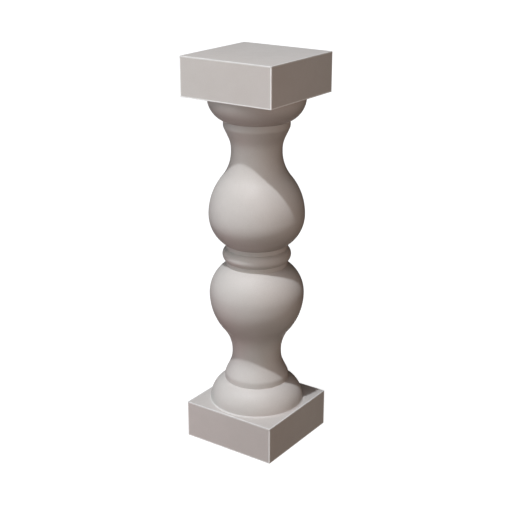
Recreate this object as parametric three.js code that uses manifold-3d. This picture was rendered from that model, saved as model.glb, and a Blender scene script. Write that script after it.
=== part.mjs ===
// A stone baluster, turned from one block: a square plinth below and a square cap above, and between
// them a double vase whose two halves mirror each other about a ring at the waist.
// Millimetres, +Z up. The origin is the middle of the underside.

import * as THREE from 'three';
import { mergeVertices } from 'three/addons/utils/BufferGeometryUtils.js';
import Module from 'manifold-3d';

// Driving dimensions of the whole and of its two square ends
const BALUSTER_HEIGHT = 700;
const BLOCK_SIDE = 182;
const BLOCK_HEIGHT = 68.4;
const BLOCK_ARRIS = 1.5;

// Driving dimensions of one half of the turned shaft, from the block towards the waist
const LISTEL_RADIUS = 85.4;
const LISTEL_HEIGHT = 2.6;
const LISTEL_STEP = 1.2;
const OVOLO_HEIGHT = 39.8;
const COLLAR_RADIUS = 57.4;
const COLLAR_HEIGHT = 10.7;
const NECK_RADIUS = 44.1;
const NECK_RISE = 42.8;
const NECK_SHARE = 0.42;
const BELLY_RADIUS = 84;
const BELLY_DROP = 53.6;
const WAIST_RADIUS = 54;
const WAIST_HEIGHT = 7.6;
const RING_RADIUS = 60.5;
const RING_HEIGHT = 23.6;

// How finely the round forms are cut
const SIDES = 48;
const ARC_STEP_DEG = 9;
const FEWEST_STEPS = 2;

// Points closer together than this are one point
const SAME_POINT = 1e-4;

// How deep the shaft runs into each block, so that the two become one stone
const ROOT_DEPTH = 12;

const STONE = new THREE.MeshStandardMaterial({ color: 0xc3bdbb, roughness: 0.62, metalness: 0 });
STONE.name = 'stone';

const wasm = await Module();
wasm.setup();

// Heights of the points where one moulding gives way to the next, in the lower half
const WAIST_MIDDLE = BALUSTER_HEIGHT / 2;
const LISTEL_TOP = BLOCK_HEIGHT + LISTEL_HEIGHT;
const OVOLO_TOP = LISTEL_TOP + OVOLO_HEIGHT;
const COLLAR_TOP = OVOLO_TOP + COLLAR_HEIGHT;
const NECK_LEVEL = COLLAR_TOP + NECK_RISE;
const RING_BOTTOM = WAIST_MIDDLE - RING_HEIGHT / 2;
const WAIST_BOTTOM = RING_BOTTOM - WAIST_HEIGHT;
const BELLY_LEVEL = WAIST_BOTTOM - BELLY_DROP;

// A circular arc that stands upright at its end called upright and runs to its other end. Points
// are [radius, height]. The arc's own radius follows from the two ends.
function arcFromUpright(upright, other) {
  const across = other[0] - upright[0];
  const along = other[1] - upright[1];
  const radius = (across * across + along * along) / (2 * Math.abs(across));
  const sweep = Math.atan2(Math.abs(along), radius - Math.abs(across));
  const steps = Math.max(FEWEST_STEPS, Math.ceil(THREE.MathUtils.radToDeg(sweep) / ARC_STEP_DEG));
  const points = [];
  for (let i = 0; i <= steps; i += 1) {
    const angle = (sweep * i) / steps;
    points.push(new THREE.Vector2(
      upright[0] + Math.sign(across) * radius * (1 - Math.cos(angle)),
      upright[1] + Math.sign(along) * radius * Math.sin(angle),
    ));
  }
  return points;
}

// Where the hollow of the neck turns into the swell of the belly: two arcs, both upright at their
// outer ends, meet there with one tangent.
function turnOfTheVase() {
  return [
    NECK_RADIUS + (BELLY_RADIUS - NECK_RADIUS) * NECK_SHARE,
    NECK_LEVEL + (BELLY_LEVEL - NECK_LEVEL) * NECK_SHARE,
  ];
}

// Half of the shaft's outline, from the top of the listel to the middle of the ring
function halfOutline() {
  const turn = turnOfTheVase();
  const ovoloFoot = [LISTEL_RADIUS - LISTEL_STEP, LISTEL_TOP];
  const neck = [NECK_RADIUS, NECK_LEVEL];
  const belly = [BELLY_RADIUS, BELLY_LEVEL];
  return [
    new THREE.Vector2(LISTEL_RADIUS, LISTEL_TOP),
    ...arcFromUpright(ovoloFoot, [COLLAR_RADIUS, OVOLO_TOP]),
    ...arcFromUpright(neck, [COLLAR_RADIUS, COLLAR_TOP]).reverse(),
    ...arcFromUpright(neck, turn).slice(1),
    ...arcFromUpright(belly, turn).reverse().slice(1),
    ...arcFromUpright(belly, [WAIST_RADIUS, WAIST_BOTTOM]).slice(1),
    ...arcFromUpright([RING_RADIUS, WAIST_MIDDLE], [WAIST_RADIUS, RING_BOTTOM]).reverse(),
  ];
}

// The whole outline: the lower half, its mirror image above the waist, and a root in each block
function shaftOutline() {
  const lower = halfOutline();
  const upper = lower.slice(0, -1).reverse()
    .map((point) => new THREE.Vector2(point.x, BALUSTER_HEIGHT - point.y));
  const rootBottom = BLOCK_HEIGHT - ROOT_DEPTH;
  const rootTop = BALUSTER_HEIGHT - rootBottom;
  return [
    new THREE.Vector2(0, rootBottom),
    new THREE.Vector2(LISTEL_RADIUS, rootBottom),
    ...lower,
    ...upper,
    new THREE.Vector2(LISTEL_RADIUS, rootTop),
    new THREE.Vector2(0, rootTop),
  ];
}

function shaftGeometry() {
  const lathe = new THREE.LatheGeometry(shaftOutline(), SIDES);
  return lathe.rotateX(Math.PI / 2);
}

// A square block with all twelve arrises taken off at 45 degrees, standing on z = 0
function blockGeometry() {
  const half = BLOCK_SIDE / 2;
  const flat = half - BLOCK_ARRIS;
  const square = new THREE.Shape();
  square.moveTo(flat, -half);
  square.lineTo(half, -flat);
  square.lineTo(half, flat);
  square.lineTo(flat, half);
  square.lineTo(-flat, half);
  square.lineTo(-half, flat);
  square.lineTo(-half, -flat);
  square.lineTo(-flat, -half);
  square.closePath();
  const block = new THREE.ExtrudeGeometry(square, {
    depth: BLOCK_HEIGHT - 2 * BLOCK_ARRIS,
    bevelEnabled: true,
    bevelThickness: BLOCK_ARRIS,
    bevelSize: BLOCK_ARRIS,
    bevelOffset: -BLOCK_ARRIS,
    bevelSegments: 1,
  });
  return block.translate(0, 0, BLOCK_ARRIS);
}

function toSolid(geometry) {
  const bare = geometry.clone();
  bare.deleteAttribute('normal');
  bare.deleteAttribute('uv');
  const merged = mergeVertices(bare, SAME_POINT);
  return new wasm.Manifold(new wasm.Mesh({
    numProp: 3,
    vertProperties: new Float32Array(merged.attributes.position.array),
    triVerts: new Uint32Array(merged.index.array),
  }));
}

function toGeometry(solid) {
  const mesh = solid.getMesh();
  const geometry = new THREE.BufferGeometry();
  geometry.setAttribute('position', new THREE.BufferAttribute(mesh.vertProperties, 3));
  geometry.setIndex(new THREE.BufferAttribute(mesh.triVerts, 1));
  geometry.computeVertexNormals();
  return geometry;
}

function balusterMesh() {
  const plinth = blockGeometry();
  const cap = blockGeometry().translate(0, 0, BALUSTER_HEIGHT - BLOCK_HEIGHT);
  const stone = toSolid(shaftGeometry()).add(toSolid(plinth)).add(toSolid(cap));
  const mesh = new THREE.Mesh(toGeometry(stone), STONE);
  mesh.name = 'baluster';
  return mesh;
}

const group = new THREE.Group();
group.add(balusterMesh());

export default group;
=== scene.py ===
# %% [markdown]
# # A turned stone baluster
#
# A baluster is one of the short stone posts under a terrace's handrail. This one is cut from a single
# block. The mason leaves both ends square, as a plinth and a cap, and turns what lies between them:
# a double vase, whose upper half mirrors the lower one about a ring at the waist.
#
# The solid model is already made. It is loaded first and isn't changed. The piece built
# here has the same form in a much finer mesh, with the finish of rubbed limestone.

# %% Load the solid model
import math

import bmesh
import bpy
import numpy as np
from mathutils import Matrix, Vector


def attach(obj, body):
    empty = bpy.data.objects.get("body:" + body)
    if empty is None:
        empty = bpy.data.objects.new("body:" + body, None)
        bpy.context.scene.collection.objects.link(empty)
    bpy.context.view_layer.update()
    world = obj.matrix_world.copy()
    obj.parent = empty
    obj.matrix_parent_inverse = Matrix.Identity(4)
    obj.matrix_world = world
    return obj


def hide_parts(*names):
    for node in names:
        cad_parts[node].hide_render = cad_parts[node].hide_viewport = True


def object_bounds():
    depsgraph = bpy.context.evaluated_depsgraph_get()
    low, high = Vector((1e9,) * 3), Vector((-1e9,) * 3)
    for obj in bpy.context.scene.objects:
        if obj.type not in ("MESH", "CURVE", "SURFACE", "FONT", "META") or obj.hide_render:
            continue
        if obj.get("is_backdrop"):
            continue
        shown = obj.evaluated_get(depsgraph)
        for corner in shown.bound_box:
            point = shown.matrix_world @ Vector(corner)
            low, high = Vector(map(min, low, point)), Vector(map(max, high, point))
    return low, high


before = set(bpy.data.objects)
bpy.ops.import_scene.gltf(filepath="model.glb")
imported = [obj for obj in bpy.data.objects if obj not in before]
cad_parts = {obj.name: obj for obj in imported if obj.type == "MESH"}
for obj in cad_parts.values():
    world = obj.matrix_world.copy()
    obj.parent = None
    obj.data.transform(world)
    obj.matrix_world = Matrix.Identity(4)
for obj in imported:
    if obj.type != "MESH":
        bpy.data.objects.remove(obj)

SOLID_NAME = "baluster"
cad_low, cad_high = (Vector(corner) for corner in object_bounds())
print("solid model from", tuple(cad_low), "to", tuple(cad_high))

# %% [markdown]
# ## The sizes
#
# Blender works in metres here, and the sizes are given in millimetres times one constant. The overall
# box comes from the solid model, so the height and the square ends can't drift away from it. The
# turned mouldings are measured as a turner would: a radius for each, and its run up the post.

# %% Sizes of the whole and of the turned half
MM = 0.001
HEIGHT = cad_high.z - cad_low.z
HALF_SIDE = (cad_high.x - cad_low.x) / 2
BLOCK_HEIGHT = 68.4 * MM

LISTEL_RADIUS = 85.4 * MM
LISTEL_HEIGHT = 2.6 * MM
LISTEL_STEP = 1.2 * MM
OVOLO_HEIGHT = 39.8 * MM
COLLAR_RADIUS = 57.4 * MM
COLLAR_HEIGHT = 10.7 * MM
NECK_RADIUS = 44.1 * MM
NECK_RISE = 42.8 * MM
NECK_SHARE = 0.42
BELLY_RADIUS = 84.0 * MM
BELLY_DROP = 53.6 * MM
WAIST_RADIUS = 54.0 * MM
WAIST_HEIGHT = 7.6 * MM
RING_RADIUS = 60.5 * MM
RING_HEIGHT = 23.6 * MM

middle = HEIGHT / 2
listel_top = BLOCK_HEIGHT + LISTEL_HEIGHT
ovolo_top = listel_top + OVOLO_HEIGHT
collar_top = ovolo_top + COLLAR_HEIGHT
neck_level = collar_top + NECK_RISE
ring_bottom = middle - RING_HEIGHT / 2
waist_bottom = ring_bottom - WAIST_HEIGHT
belly_level = waist_bottom - BELLY_DROP
print(f"height {HEIGHT:.4f} m, neck at {neck_level:.4f} m, belly at {belly_level:.4f} m")

# %% [markdown]
# ## The outline as a chain of curves
#
# A turner's template is a board cut to the outline of the work, and most of its curves are arcs struck
# with compasses. Each arc here stands upright at its narrowest or widest point, so its two ends are
# enough to find its radius. Above the neck two arcs meet with one tangent, and the eye sees a single
# curve that swells into the belly.
#
# Where two mouldings meet at a corner, an extra point is set very close to the corner on either side.
# Smooth shading then rounds only that last third of a millimetre, as rubbing down does, and the
# mouldings stay crisp.

# %% Helpers for arcs and straight runs
ROW_STEP = 2.8 * MM
CORNER_GAP = 0.35 * MM
SHORTEST_WITH_GAPS = 3 * CORNER_GAP
FINE_STEPS = 96


def arc(upright, other):
    """An arc from its upright end to its other end, as (radius, height) points."""
    across, along = other[0] - upright[0], other[1] - upright[1]
    radius = (across ** 2 + along ** 2) / (2 * abs(across))
    turn = math.atan2(abs(along), radius - abs(across))
    angles = np.linspace(0, turn, FINE_STEPS)
    return np.stack([
        upright[0] + math.copysign(radius, across) * (1 - np.cos(angles)),
        upright[1] + math.copysign(radius, along) * np.sin(angles),
    ], axis=1)


def run(points):
    """Even points along a smooth stretch, with an extra one next to either end."""
    points = np.asarray(points, float)
    steps = np.linalg.norm(np.diff(points, axis=0), axis=1)
    along = np.concatenate([[0], np.cumsum(steps)])
    stops = np.linspace(0, along[-1], max(2, math.ceil(along[-1] / ROW_STEP) + 1))
    if along[-1] > SHORTEST_WITH_GAPS:
        stops = np.sort(np.append(stops, [CORNER_GAP, along[-1] - CORNER_GAP]))
    return np.stack([np.interp(stops, along, points[:, i]) for i in (0, 1)], axis=1)


print("rings stand about", round(ROW_STEP / MM, 1), "mm apart")

# %% [markdown]
# One stretch isn't an arc. From the collar the hollow falls away nearly straight, and it only turns
# upright close to the neck. A free bend draws that: a curve between two ends that is led by two more
# points. The collar is a short upright band, and its upper edge is a small bend too, because it is
# rubbed round and rolls softly into the hollow.

# %% The hollow of the neck, and the collar's rubbed edge
FLANK_SLOPE = 0.432
FLANK_REACH = 21.4 * MM
NECK_REACH = 18.6 * MM
COLLAR_EASE = 2.2 * MM
HOLLOW_EASE = 4.0 * MM
neck = (NECK_RADIUS, neck_level)


def bend(start, after_start, before_end, end):
    """A smooth bend that leaves start towards the second point and reaches end from the third."""
    share = np.linspace(0, 1, FINE_STEPS)[:, None]
    points = (np.asarray(point, float) for point in (start, after_start, before_end, end))
    start, after_start, before_end, end = points
    near_start = start * (1 - share) ** 3 + after_start * 3 * share * (1 - share) ** 2
    near_end = before_end * 3 * share ** 2 * (1 - share) + end * share ** 3
    return near_start + near_end


hollow = bend(
    (COLLAR_RADIUS, collar_top),
    (COLLAR_RADIUS - FLANK_SLOPE * FLANK_REACH, collar_top + FLANK_REACH),
    (NECK_RADIUS, neck_level - NECK_REACH),
    neck,
)
hollow = hollow[hollow[:, 1] > collar_top + HOLLOW_EASE]
edge_start = (COLLAR_RADIUS, collar_top - COLLAR_EASE)
edge_corner = (COLLAR_RADIUS, collar_top)
collar = np.concatenate([
    [(COLLAR_RADIUS, ovolo_top)],
    bend(edge_start, edge_corner, edge_corner, hollow[0]),
])
print("the collar bends over", round((hollow[0, 1] - edge_start[1]) / MM, 1), "mm")

# %% [markdown]
# The curves are now joined from the foot up. The listel is a thin ring with a sloping top, and the
# convex ovolo rises from it to the collar. The collar, the hollow, the neck and the belly count as one
# smooth stretch. Then come the upright waist and the ring.

# %% The turned half, from the plinth up to the middle of the ring
LISTEL_UPRIGHT = 0.8 * MM
belly = (BELLY_RADIUS, belly_level)
turn_point = tuple(low + (high - low) * NECK_SHARE for low, high in zip(neck, belly))
vase = np.concatenate([
    collar,
    hollow[1:],
    arc(neck, turn_point)[1:],
    arc(belly, turn_point)[::-1][1:],
    arc(belly, (WAIST_RADIUS, waist_bottom))[1:],
])
ovolo_foot = (LISTEL_RADIUS - LISTEL_STEP, listel_top)
listel_lip = (LISTEL_RADIUS, BLOCK_HEIGHT + LISTEL_UPRIGHT)
stretches = [
    run([(LISTEL_RADIUS, BLOCK_HEIGHT), listel_lip]),
    run([listel_lip, ovolo_foot]),
    run(arc(ovolo_foot, (COLLAR_RADIUS, ovolo_top))),
    run(vase),
    run([(WAIST_RADIUS, waist_bottom), (WAIST_RADIUS, ring_bottom)]),
    run(arc((RING_RADIUS, middle), (WAIST_RADIUS, ring_bottom))[::-1]),
]
half_shaft = np.concatenate([stretches[0]] + [stretch[1:] for stretch in stretches[1:]])
print("half the shaft has", len(half_shaft), "rings")

# %% [markdown]
# ## The square ends
#
# The plinth's outline is drawn the same way, from the middle of its bed out to the side and back in
# over the top, but here the radius counts as half the side of a square. The arrises are rounded over,
# because a stone edge that was once sharp has been rubbed. A ring is set close to each arris, so that
# the faces stay flat right up to it.

# %% Outline of the plinth, from the middle of its bed to the foot of the listel
ARRIS = 0.45 * MM
UPRIGHT_ARRIS = 0.9 * MM
ARRIS_STEPS = 4
BED_RINGS = 4
SIDE_RINGS = 12
LEDGE_RINGS = 5
MARGIN = 0.5 * MM
BED_MARGIN = 10 * MARGIN
flat = HALF_SIDE - ARRIS


def quarter(centre, start):
    """A quarter circle of the arris about its centre, from the angle start, in degrees."""
    angles = np.radians(np.linspace(start, start + 90, ARRIS_STEPS + 1))
    return [(centre[0] + ARRIS * math.cos(a), centre[1] + ARRIS * math.sin(a), 1.0) for a in angles]


bed_radii = np.append(np.linspace(0, flat - BED_MARGIN, BED_RINGS), flat - MARGIN)
side_heights = np.linspace(ARRIS + MARGIN, BLOCK_HEIGHT - ARRIS - MARGIN, SIDE_RINGS)
ledge_radii = np.linspace(flat - MARGIN, LISTEL_RADIUS + CORNER_GAP, LEDGE_RINGS)
ledge_squareness = np.linspace(1, 0, LEDGE_RINGS)
plinth_rows = (
    [(r, 0.0, 1.0) for r in bed_radii]
    + quarter((flat, ARRIS), -90)
    + [(HALF_SIDE, z, 1.0) for z in side_heights]
    + quarter((flat, BLOCK_HEIGHT - ARRIS), 0)
    + [(r, BLOCK_HEIGHT, s) for r, s in zip(ledge_radii, ledge_squareness)]
)
lower_rows = plinth_rows + [(r, z, 0.0) for r, z in half_shaft]
upper_rows = [(r, HEIGHT - z, s) for r, z, s in lower_rows[:-1][::-1]]
rows = np.array(lower_rows + upper_rows)
print("the plinth has", len(plinth_rows), "rings, the whole stone", len(rows))

# %% [markdown]
# ## Turning the outline into stone
#
# The Screw modifier could spin a profile, but both ends of this piece are square, so a spin alone
# can't make it. Geometry Nodes can. A flat grid has one column for each direction around the post and
# one row for each ring of the outline, and every grid point is moved to its place by one rule. On the
# shaft the rule gives a circle, on the ends a square with rounded corners, and on the ledge between
# them a blend of the two. The mesh stays in one piece with clean rings.
#
# First comes a small helper, because a rule written as nodes is easier to read as a formula.

# %% A helper for writing node trees as formulas
class Formula:
    """Adds nodes to a tree and links them. A plain number given for an input becomes its value."""

    def __init__(self, tree):
        self.tree = tree

    def feed(self, socket, value):
        if isinstance(value, bpy.types.NodeSocket):
            self.tree.links.new(value, socket)
        else:
            socket.default_value = value

    def add(self, kind, inputs=None, **settings):
        node = self.tree.nodes.new(kind)
        for name, value in settings.items():
            setattr(node, name, value)
        for key, value in (inputs or {}).items():
            self.feed(node.inputs[key], value)
        return node

    def math(self, operation, *values):
        numbered = dict(enumerate(values))
        return self.add("ShaderNodeMath", numbered, operation=operation).outputs[0]

    def plus(self, a, b):
        return self.math("ADD", a, b)

    def less(self, a, b):
        return self.math("SUBTRACT", a, b)

    def times(self, a, b):
        return self.math("MULTIPLY", a, b)

    def over(self, a, b):
        return self.math("DIVIDE", a, b)

    def within(self, value, low, high):
        return self.add("ShaderNodeClamp", {0: value, 1: low, 2: high}).outputs[0]

    def between(self, share, a, b):
        return self.plus(a, self.times(share, self.less(b, a)))

    def split(self, vector):
        return self.add("ShaderNodeSeparateXYZ", {0: vector}).outputs

    def join(self, x, y, z):
        return self.add("ShaderNodeCombineXYZ", {0: x, 1: y, 2: z}).outputs[0]


print("formulas can now be written as nodes")

# %% The tree and its named inputs
turning = bpy.data.node_groups.new("turn the stone", "GeometryNodeTree")
GIVEN = {
    "Rings": ("NodeSocketInt", len(rows)),
    "Columns on a flat": ("NodeSocketInt", 58),
    "Columns on half an arris": ("NodeSocketInt", 2),
    "Half side": ("NodeSocketFloat", HALF_SIDE),
    "Arris": ("NodeSocketFloat", ARRIS),
    "Upright arris": ("NodeSocketFloat", UPRIGHT_ARRIS),
    "Margin": ("NodeSocketFloat", MARGIN),
    "Merge distance": ("NodeSocketFloat", 0.01 * MM),
}
turning.interface.new_socket("Outline", in_out="INPUT", socket_type="NodeSocketGeometry")
for name, (kind, _) in GIVEN.items():
    turning.interface.new_socket(name, in_out="INPUT", socket_type=kind)
turning.interface.new_socket("Stone", in_out="INPUT", socket_type="NodeSocketMaterial")
turning.interface.new_socket("Turned stone", in_out="OUTPUT", socket_type="NodeSocketGeometry")
f = Formula(turning)
given = f.add("NodeGroupInput").outputs
print("the tree takes", ", ".join(GIVEN))

# %% [markdown]
# The grid is laid out one metre a step, so that a point's position tells its column and its row once
# it is shifted and rounded. The outline is a chain of points, and each grid point reads its own
# ring's radius, height and squareness from there.

# %% Grid points find their column, their ring and what the outline holds there
SIDES = 4.0
flat_columns = given["Columns on a flat"]
arris_columns = given["Columns on half an arris"]
side_columns = f.plus(flat_columns, f.times(arris_columns, 2.0))
all_columns = f.times(side_columns, SIDES)
last_ring = f.less(given["Rings"], 1.0)
grid = f.add("GeometryNodeMeshGrid", {
    "Size X": all_columns,
    "Size Y": last_ring,
    "Vertices X": f.plus(all_columns, 1.0),
    "Vertices Y": given["Rings"],
}).outputs["Mesh"]
grid_x, grid_y, _ = f.split(f.add("GeometryNodeInputPosition").outputs[0])
column = f.math("ROUND", f.plus(grid_x, f.times(all_columns, 0.5)))
ring_number = f.math("ROUND", f.plus(grid_y, f.times(last_ring, 0.5)))


def from_outline(kind, value):
    """What the outline holds at the ring of this grid point."""
    sample = f.add("GeometryNodeSampleIndex", data_type=kind)
    f.feed(sample.inputs["Geometry"], given["Outline"])
    f.feed(sample.inputs["Value"], value)
    f.feed(sample.inputs["Index"], ring_number)
    return sample.outputs["Value"]


outline_place = f.add("GeometryNodeInputPosition").outputs[0]
ring_radius, _, ring_height = f.split(from_outline("FLOAT_VECTOR", outline_place))
stored_squareness = f.add("GeometryNodeInputNamedAttribute", {"Name": "squareness"}, data_type="FLOAT")
squareness = from_outline("FLOAT", stored_squareness.outputs["Attribute"])
print("grid points read the outline")

# %% [markdown]
# Each of the four sides has the same plan: half an arris, a flat, half an arris. One column stands
# close to each arris, as the rings do, and the others are spread evenly in angle, which is what the
# round shaft wants.

# %% Where a column stands on its side of the square
FULL_TURN = 2 * math.pi
EIGHTH = math.pi / 4
side_number = f.math("FLOOR", f.over(f.plus(column, 0.5), side_columns))
on_side = f.less(column, f.times(side_number, side_columns))
past_arris = f.less(on_side, arris_columns)
spread = f.within(f.over(f.less(past_arris, 1.0), f.less(flat_columns, 2.0)), 0.0, 1.0)
corner_centre = f.less(given["Half side"], given["Upright arris"])
near_share = f.over(given["Margin"], f.times(corner_centre, 2.0))
even = f.times(f.less(f.times(spread, 2.0), 1.0), f.less(1.0, near_share))
at_start = f.within(f.less(1.0, past_arris), 0.0, 1.0)
at_end = f.within(f.less(past_arris, f.less(flat_columns, 1.0)), 0.0, 1.0)
along_flat = f.plus(even, f.times(near_share, f.less(at_end, at_start)))
flat_offset = f.math("TANGENT", f.times(along_flat, EIGHTH))
before = f.within(f.over(past_arris, arris_columns), -1.0, 0.0)
after = f.within(f.over(f.less(past_arris, flat_columns), arris_columns), 0.0, 1.0)
arris_turn = f.times(f.plus(before, after), EIGHTH)
arris_cos = f.math("COSINE", arris_turn)
arris_sin = f.math("SINE", arris_turn)
print("columns are spread along each side")

# %% [markdown]
# On the rounded arris of the bed and of the ledge, the square shrinks and its corner gets tighter. On
# the flat bed, the whole square is scaled towards the middle, down to a single point there.

# %% The two plans, and the point between them
inset = f.math("MINIMUM", f.less(given["Half side"], ring_radius), given["Arris"])
corner_radius = f.less(given["Upright arris"], inset)
shrink = f.math("MINIMUM", f.over(ring_radius, f.less(given["Half side"], given["Arris"])), 1.0)
square_x = f.times(f.plus(corner_centre, f.times(corner_radius, arris_cos)), shrink)
square_y = f.times(
    f.plus(f.times(corner_centre, flat_offset), f.times(corner_radius, arris_sin)),
    shrink,
)
full_x = f.plus(corner_centre, f.times(given["Upright arris"], arris_cos))
full_y = f.plus(f.times(corner_centre, flat_offset), f.times(given["Upright arris"], arris_sin))
direction = f.math("ARCTAN2", full_y, full_x)
round_x = f.times(ring_radius, f.math("COSINE", direction))
round_y = f.times(ring_radius, f.math("SINE", direction))
side_x = f.between(squareness, round_x, square_x)
side_y = f.between(squareness, round_y, square_y)
quarter_turn = f.times(side_number, FULL_TURN / SIDES)
turn_cos = f.math("COSINE", quarter_turn)
turn_sin = f.math("SINE", quarter_turn)
place = f.join(
    f.less(f.times(side_x, turn_cos), f.times(side_y, turn_sin)),
    f.plus(f.times(side_x, turn_sin), f.times(side_y, turn_cos)),
    ring_height,
)
print("every grid point has its place")

# %% [markdown]
# The last column of the grid lies on the first, and the bed rings meet in one point, so points that
# coincide are merged and the stone is closed. The tree ends in real geometry with the stone on it.

# %% The end of the tree: close the seam, smooth, and hand over with the stone on it
moved = f.add("GeometryNodeSetPosition", {"Geometry": grid, "Position": place}).outputs[0]
closed = f.add("GeometryNodeMergeByDistance", {
    "Geometry": moved,
    "Distance": given["Merge distance"],
}).outputs[0]
smooth = f.add("GeometryNodeSetShadeSmooth", {"Geometry": closed}).outputs[0]
real = f.add("GeometryNodeRealizeInstances", {"Geometry": smooth}).outputs[0]
dressed = f.add("GeometryNodeSetMaterial", {
    "Geometry": real,
    "Material": given["Stone"],
}).outputs[0]
f.add("NodeGroupOutput", {0: dressed})
print("the tree has", len(turning.nodes), "nodes")

# %% [markdown]
# ## Rubbed limestone
#
# Close-grained limestone is nearly one colour: a warm pale grey, with slow clouds of slightly darker
# and warmer stone, a fine grain that shows only up close, and scattered pores. Rubbing leaves it
# satin. An arris that hands and weather have touched is paler than the faces beside it, and here the
# arrises also carry a painted highlight.
#
# All patterns read Object coordinates in metres, so their scale is real: a noise of scale 900 has
# grains of about a millimetre.

# %% The stone's material, and patterns that it is mixed from
limestone = bpy.data.materials.new("rubbed limestone")
limestone.use_nodes = True
limestone.node_tree.nodes.clear()
s = Formula(limestone.node_tree)
spot = s.add("ShaderNodeTexCoord").outputs["Object"]


def noise(scale, detail, roughness=0.5):
    """A cloud pattern of about 0 to 1, whose grains are about 1 / scale metres."""
    inputs = {"Vector": spot, "Scale": scale, "Detail": detail, "Roughness": roughness}
    return s.add("ShaderNodeTexNoise", inputs).outputs["Fac"]


def ramp(value, low, high, to_low=0.0, to_high=1.0):
    """Maps low to high smoothly onto to_low to to_high, and holds the ends."""
    inputs = {0: value, 1: low, 2: high, 3: to_low, 4: to_high}
    return s.add("ShaderNodeMapRange", inputs, interpolation_type="SMOOTHSTEP").outputs[0]


CLOUD_SCALE = 7.0
MOTTLE_SCALE = 60.0
GRAIN_SCALE = 900.0
BROKEN = 0.6
clouds = noise(CLOUD_SCALE, detail=3.0)
mottle = noise(MOTTLE_SCALE, detail=4.0, roughness=BROKEN)
grain = noise(GRAIN_SCALE, detail=3.0, roughness=BROKEN)
print("patterns are ready")

# %% [markdown]
# The distance from an arris follows from the point's own coordinates. In a block, take how far the
# point lies from the nearest side in x, in y and in z. On a face one of the three is zero, and near
# an arris the second smallest is nearly zero too, so the middle one of the three is the distance.

# %% Distance from the nearest arris of the plinth or the cap
x, y, z = s.split(spot)
fold = s.math("MINIMUM", z, s.less(HEIGHT, z))
from_x = s.less(HALF_SIDE, s.math("ABSOLUTE", x))
from_y = s.less(HALF_SIDE, s.math("ABSOLUTE", y))
from_z = s.math("MINIMUM", s.math("ABSOLUTE", fold), s.math("ABSOLUTE", s.less(BLOCK_HEIGHT, fold)))
nearer = s.math("MINIMUM", from_x, from_y)
farther = s.math("MAXIMUM", from_x, from_y)
from_arris = s.math("MAXIMUM", nearer, s.math("MINIMUM", farther, from_z))
from_axis = s.math("SQRT", s.plus(s.times(x, x), s.times(y, y)))


def from_edge(radius, height):
    """Distance from a turned edge of this radius at this height, and from its mirror image."""
    out = s.less(from_axis, radius)
    up = s.less(fold, height)
    return s.math("SQRT", s.plus(s.times(out, out), s.times(up, up)))


listel_edge = from_edge(LISTEL_RADIUS - LISTEL_STEP / 2, (BLOCK_HEIGHT + listel_top) / 2)
print("distances to the edges are ready")

# %% [markdown]
# The pores are the middles of Voronoi cells, kept only where the cell's own random number says so.
# They are a little darker and a little sunk.

# %% Pores
PORE_SCALE = 210.0
PORE_SHARE = 0.72
PORE_FADE = 0.05
PORE_SIZE = 0.16
cells = s.add("ShaderNodeTexVoronoi", {"Vector": spot, "Scale": PORE_SCALE}).outputs
chosen = ramp(s.split(cells["Color"])[0], PORE_SHARE, PORE_SHARE + PORE_FADE)
pores = s.times(chosen, ramp(cells["Distance"], 0.0, PORE_SIZE, 1.0, 0.0))
print("pores every", round(1 / PORE_SCALE / MM, 1), "mm")

# %% [markdown]
# ### Colour
#
# The colours are mixed one after another: the ground, its clouds, the mottling, the grain and the
# pores. Each step is small, because the stone is clean. Undersides get a painted shade: the more a
# surface faces down, the darker its colour is made.

# %% Colour of the stone, with painted shade on undersides
GROUND = (0.560, 0.520, 0.498, 1.0)
CLOUD = (0.500, 0.456, 0.430, 1.0)
PALE = (0.900, 0.885, 0.875, 1.0)
DARK = (0.240, 0.200, 0.175, 1.0)
CLOUD_RANGE = (0.3, 0.7)
CLOUD_SHARE = 0.5
MOTTLE_RANGE = (0.35, 0.7)
MOTTLE_SHARE = 0.16
LIGHT_GRAINS = (0.5, 0.75)
DARK_GRAINS = (0.25, 0.5)
GRAIN_SHARE = 0.10
PORE_TINT = 0.35
# Painted shade: how far a surface must face down before it is darkened, and how much darker it gets.
PAINTED_SHADE_START = -0.1
PAINTED_SHADE_FULL = -0.7
PAINTED_SHADE_SHARE = 0.35


def tint(share, under, over):
    """Lays one colour over another by a share from 0 to 1."""
    mix = s.add("ShaderNodeMix", data_type="RGBA")
    s.feed(mix.inputs["Factor"], share)
    s.feed(mix.inputs[6], under)
    s.feed(mix.inputs[7], over)
    return mix.outputs[2]


colour = tint(ramp(clouds, *CLOUD_RANGE, 0.0, CLOUD_SHARE), GROUND, CLOUD)
colour = tint(ramp(mottle, *MOTTLE_RANGE, 0.0, MOTTLE_SHARE), colour, CLOUD)
colour = tint(ramp(grain, *LIGHT_GRAINS, 0.0, GRAIN_SHARE), colour, PALE)
colour = tint(ramp(grain, *DARK_GRAINS, GRAIN_SHARE, 0.0), colour, DARK)
colour = tint(s.times(pores, PORE_TINT), colour, DARK)
facing_up = s.split(s.add("ShaderNodeNewGeometry").outputs["Normal"])[2]
# Painted shade: the colour is darkened on surfaces that face down.
colour = tint(ramp(facing_up, PAINTED_SHADE_FULL, PAINTED_SHADE_START, PAINTED_SHADE_SHARE, 0.0), colour, DARK)
print("the stone's own colour is mixed")
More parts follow.
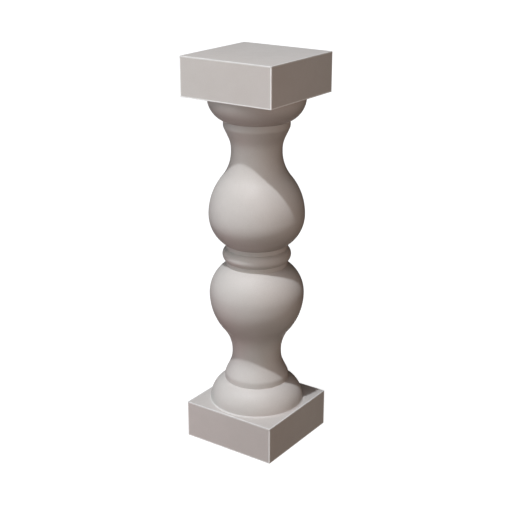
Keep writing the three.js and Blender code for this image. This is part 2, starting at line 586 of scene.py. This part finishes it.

# %% [markdown]
# Last come the arrises of the blocks and the edge of the listel, which are paler: partly as rubbed
# stone, partly as a painted highlight along each edge. How much an edge is paled varies with the
# mottling, so that the line isn't even. The arrises around the top of the cap and of the plinth, which
# get more light, are painted less pale than the others, so that the highlight looks alike on all.

# %% Pale arrises: rubbed stone and painted highlight
PALE_ABOVE = (0.720, 0.705, 0.695, 1.0)
ARRIS_REACH = 2.8 * MM
LISTEL_REACH = 1.7 * MM
LISTEL_SHARE = 0.5
RUBBED_AND_HIGHLIT_RANGE = (0.25, 0.75)
LEAST_RUBBED_AND_HIGHLIT = 0.75
RUBBED_AND_HIGHLIT_SHARE = 0.95
# Painted highlight together with paler rubbed stone: a mask near the arrises and the listel's edge.
rubbed_and_highlit = s.math(
    "MAXIMUM",
    ramp(from_arris, ARRIS_REACH / 2, ARRIS_REACH, 1.0, 0.0),
    s.times(ramp(listel_edge, LISTEL_REACH / 2, LISTEL_REACH, 1.0, 0.0), LISTEL_SHARE),
)
rubbed_and_highlit = s.times(rubbed_and_highlit, ramp(mottle, *RUBBED_AND_HIGHLIT_RANGE, LEAST_RUBBED_AND_HIGHLIT, 1.0))
# Painted highlight: arrises at the tops, which get more light, are painted less pale than the others.
from_cap_top = s.less(HEIGHT, z)
from_plinth_top = s.math("ABSOLUTE", s.less(BLOCK_HEIGHT, z))
from_top = s.math("MINIMUM", from_cap_top, from_plinth_top)
pale = tint(ramp(from_top, ARRIS_REACH, 2 * ARRIS_REACH), PALE_ABOVE, PALE)
colour = tint(s.times(rubbed_and_highlit, RUBBED_AND_HIGHLIT_SHARE), colour, pale)
print("colour is mixed")

# %% [markdown]
# ### Sheen and relief
#
# Roughness wanders a little with the mottling, and rubbed edges shine a little more. The bump is
# measured in metres too: grains stand a few hundredths of a millimetre proud, and the mottling rises
# and the pores sink by about a tenth.

# %% Roughness, bump and the finished surface
ROUGH_LOW = 0.54
ROUGH_HIGH = 0.64
ROUGH_RANGE = (0.3, 0.7)
RUBBED_SHINE = 0.06
GRAIN_RELIEF = 0.03 * MM
MOTTLE_RELIEF = 0.12 * MM
PORE_DEPTH = 0.12 * MM
STONE_IOR = 1.5
unrubbed = ramp(mottle, *ROUGH_RANGE, ROUGH_LOW, ROUGH_HIGH)
roughness = s.less(unrubbed, s.times(rubbed_and_highlit, RUBBED_SHINE))
relief = s.plus(s.times(grain, GRAIN_RELIEF), s.times(mottle, MOTTLE_RELIEF))
relief = s.less(relief, s.times(pores, PORE_DEPTH))
bump = s.add("ShaderNodeBump", {"Strength": 1.0, "Distance": 1.0, "Height": relief}).outputs[0]
surface = s.add("ShaderNodeBsdfPrincipled", {
    "Base Color": colour,
    "Roughness": roughness,
    "Normal": bump,
    "IOR": STONE_IOR,
})
s.add("ShaderNodeOutputMaterial", {"Surface": surface.outputs[0]})
print("limestone has", len(limestone.node_tree.nodes), "nodes")

# %% [markdown]
# ## Making the piece
#
# The outline becomes a small chain mesh, and the modifier turns it into the stone. A modifier's
# inputs are set by their identifiers before anything is evaluated. Its result is then taken as a
# plain mesh, and the modifier goes, so that the piece is an ordinary object from here on.

# %% Turn the stone
chain = bpy.data.meshes.new("outline")
chain.from_pydata(
    [(r, 0.0, height) for r, height, _ in rows],
    [(i, i + 1) for i in range(len(rows) - 1)],
    [],
)
chain.attributes.new("squareness", "FLOAT", "POINT")
chain.attributes["squareness"].data.foreach_set("value", rows[:, 2].astype(np.float32))
stone = bpy.data.objects.new("turned_baluster", chain)
bpy.context.scene.collection.objects.link(stone)
modifier = stone.modifiers.new("turning", "NODES")
modifier.node_group = turning
settings = {name: value for name, (_, value) in GIVEN.items()}
settings["Stone"] = limestone
for socket in turning.interface.items_tree:
    if socket.in_out == "INPUT" and socket.name in settings:
        modifier[socket.identifier] = settings[socket.name]
depsgraph = bpy.context.evaluated_depsgraph_get()
turned = bpy.data.meshes.new_from_object(stone.evaluated_get(depsgraph), depsgraph=depsgraph)
stone.modifiers.clear()
stone.data = turned
bpy.data.meshes.remove(chain)
print("turned mesh has", len(turned.vertices), "points and", len(turned.polygons), "faces")

# %% Point all faces outwards, and check that the mesh is closed
LITRES = 1000
shell = bmesh.new()
shell.from_mesh(turned)
bmesh.ops.recalc_face_normals(shell, faces=shell.faces)
open_edges = sum(1 for edge in shell.edges if len(edge.link_faces) != 2)
volume = shell.calc_volume(signed=True)
shell.to_mesh(turned)
shell.free()
turned.calc_loop_triangles()
print(len(turned.loop_triangles), "triangles,", open_edges, "open edges,")
print("volume", round(volume * LITRES, 4), "litres, materials", list(turned.materials))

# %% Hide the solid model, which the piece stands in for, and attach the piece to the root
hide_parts(SOLID_NAME)
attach(stone, "root")
print("the piece stands for", SOLID_NAME)

# %% [markdown]
# ## The floor
#
# The floor is plain and white. Nearly all its brightness is its own glow, so that only a very faint
# shadow shows on it. It throws no light back at the stone, which is lit by the lamps and the sky
# alone.

# %% Floor
FLOOR_SIZE = 60.0
FLOOR_DROP = 0.2 * MM
FLOOR_GLOW = 0.98
FLOOR_GREY = 0.2
WHITE = (1, 1, 1, 1)
floor_mesh = bpy.data.meshes.new("floor")
edge = FLOOR_SIZE / 2
floor_corners = [(-edge, -edge), (edge, -edge), (edge, edge), (-edge, edge)]
floor_mesh.from_pydata([(a, b, -FLOOR_DROP) for a, b in floor_corners], [], [(0, 1, 2, 3)])
floor = bpy.data.objects.new("floor", floor_mesh)
bpy.context.scene.collection.objects.link(floor)
pale_floor = bpy.data.materials.new("pale floor")
pale_floor.use_nodes = True
pale_floor.node_tree.nodes.clear()
p = Formula(pale_floor.node_tree)
glow = p.add("ShaderNodeEmission", {"Color": WHITE, "Strength": FLOOR_GLOW}).outputs[0]
matt = p.add("ShaderNodeBsdfDiffuse", {"Color": (FLOOR_GREY, FLOOR_GREY, FLOOR_GREY, 1)}).outputs[0]
both = p.add("ShaderNodeAddShader", {0: glow, 1: matt}).outputs[0]
p.add("ShaderNodeOutputMaterial", {"Surface": both})
floor_mesh.materials.append(pale_floor)
floor.visible_diffuse = False
floor.visible_glossy = False
floor.visible_shadow = False
floor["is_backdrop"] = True
print("floor", FLOOR_SIZE, "m across")

# %% [markdown]
# ## The light
#
# One hard light stands high in front of the stone and draws the clear shadows under the cap, on both
# bellies and on the plinth. Everything else is soft. Round diffusers stand a little over a metre from
# the stone: high in front, in front, on the left and low on the left, as the camera sees it. One more
# stands behind and below, in place of the light that the ground would throw up, so that the back
# isn't black. Two broad pools in the sky fill in from the front and from the right, and the one on
# the right, which reaches the shaded side, is warm.

# %% Hard light
SUN_TOWARDS = Vector((0.0206, -0.3805, 0.9245))
SUN_COLOUR = (1.845, 2.000, 2.105)
SUN_WIDTH_DEG = 1.6


def add_light(name, kind, towards, colour, unit=1.0):
    """A light in the direction towards, whose red, green and blue strengths are given in units."""
    data = bpy.data.lights.new(name, kind)
    strongest = max(colour)
    data.energy = strongest * unit
    data.color = [part / strongest for part in colour]
    lamp = bpy.data.objects.new(name, data)
    lamp.rotation_mode = "QUATERNION"
    lamp.rotation_quaternion = Vector(towards).to_track_quat("Z", "Y")
    bpy.context.scene.collection.objects.link(lamp)
    return lamp


sun = add_light("hard light", "SUN", SUN_TOWARDS, SUN_COLOUR)
sun.data.angle = math.radians(SUN_WIDTH_DEG)
print("hard light of strength", round(sun.data.energy, 3))

# %% Round diffusers
DIFFUSER_DISTANCE = 1.2
DIFFUSER_WIDTH = 0.7
DIFFUSER_WATTS = 10.0
DIFFUSERS = {
    "diffuser high in front": ((0.0423, -0.4823, 0.8750), (0.5455, 0.5246, 0.5235)),
    "diffuser in front": ((0.7068, -0.7034, 0.0750), (0.1823, 0.0900, 0.0762)),
    "diffuser on the left": ((-0.6405, -0.7675, -0.0250), (0.3772, 0.4134, 0.4215)),
    "diffuser low on the left": ((-0.5833, -0.4518, -0.6750), (0.1051, 0.0000, 0.0000)),
    "bounce behind": ((-0.4500, 0.6790, -0.5800), (0.5000, 0.4700, 0.4500)),
}
for name, (towards, colour) in DIFFUSERS.items():
    lamp = add_light(name, "AREA", towards, colour, DIFFUSER_WATTS)
    lamp.data.shape = "DISK"
    lamp.data.size = DIFFUSER_WIDTH
    lamp.location = Vector((0, 0, middle)) + Vector(towards) * DIFFUSER_DISTANCE
    print(name, "gives", round(lamp.data.energy, 2), "W")

# %% Pools of light in the sky
POOL_TIGHTNESS = 7.0
POOLS = {
    "in front": ((0.7068, -0.7034, 0.0750), (0.8099, 1.0514, 1.0387)),
    "on the right": ((0.9883, 0.1330, -0.0750), (0.3132, 0.1264, 0.0363)),
}
sky = bpy.data.worlds.new("studio")
bpy.context.scene.world = sky
sky.use_nodes = True
sky.node_tree.nodes.clear()
w = Formula(sky.node_tree)
towards = w.add("ShaderNodeTexCoord").outputs["Generated"]
total = (0.0, 0.0, 0.0)
for centre, colour in POOLS.values():
    facing = w.add("ShaderNodeVectorMath", {0: towards, 1: centre}, operation="DOT_PRODUCT")
    fade = w.times(w.less(facing.outputs["Value"], 1.0), POOL_TIGHTNESS)
    pool = w.add("ShaderNodeVectorMath", {0: colour}, operation="SCALE")
    w.feed(pool.inputs["Scale"], w.math("EXPONENT", fade))
    total = w.add("ShaderNodeVectorMath", {0: total, 1: pool.outputs[0]}, operation="ADD").outputs[0]
soft = w.add("ShaderNodeBackground", {"Color": total, "Strength": 1.0}).outputs[0]
white = w.add("ShaderNodeBackground", {"Color": WHITE, "Strength": 1.0}).outputs[0]
seen = w.add("ShaderNodeLightPath").outputs["Is Camera Ray"]
backdrop = w.add("ShaderNodeMixShader", {0: seen, 1: soft, 2: white}).outputs[0]
w.add("ShaderNodeOutputWorld", {"Surface": backdrop})
print("soft light in", len(POOLS), "pools")

# %% [markdown]
# ## The camera
#
# The perspective of the square blocks tells where the camera stood: to the right of the front, and
# looking down by about twenty degrees.

# %% Camera
AZIMUTH = math.radians(34.99)
ELEVATION = math.radians(19.92)
SENSOR_WIDTH_MM = 36.0
LENS_MM = 74.97
CAMERA_PLACE = (1.0131, -1.4498, 0.9850)
back = Vector((
    math.sin(AZIMUTH) * math.cos(ELEVATION),
    -math.cos(AZIMUTH) * math.cos(ELEVATION),
    math.sin(ELEVATION),
))
lens = bpy.data.cameras.new("camera")
lens.sensor_width = SENSOR_WIDTH_MM
lens.lens = LENS_MM
camera = bpy.data.objects.new("camera", lens)
camera.location = CAMERA_PLACE
camera.rotation_mode = "QUATERNION"
camera.rotation_quaternion = back.to_track_quat("Z", "Y")
bpy.context.scene.collection.objects.link(camera)
bpy.context.scene.camera = camera
bpy.context.scene.view_settings.view_transform = "Standard"
print("camera at", tuple(camera.location))
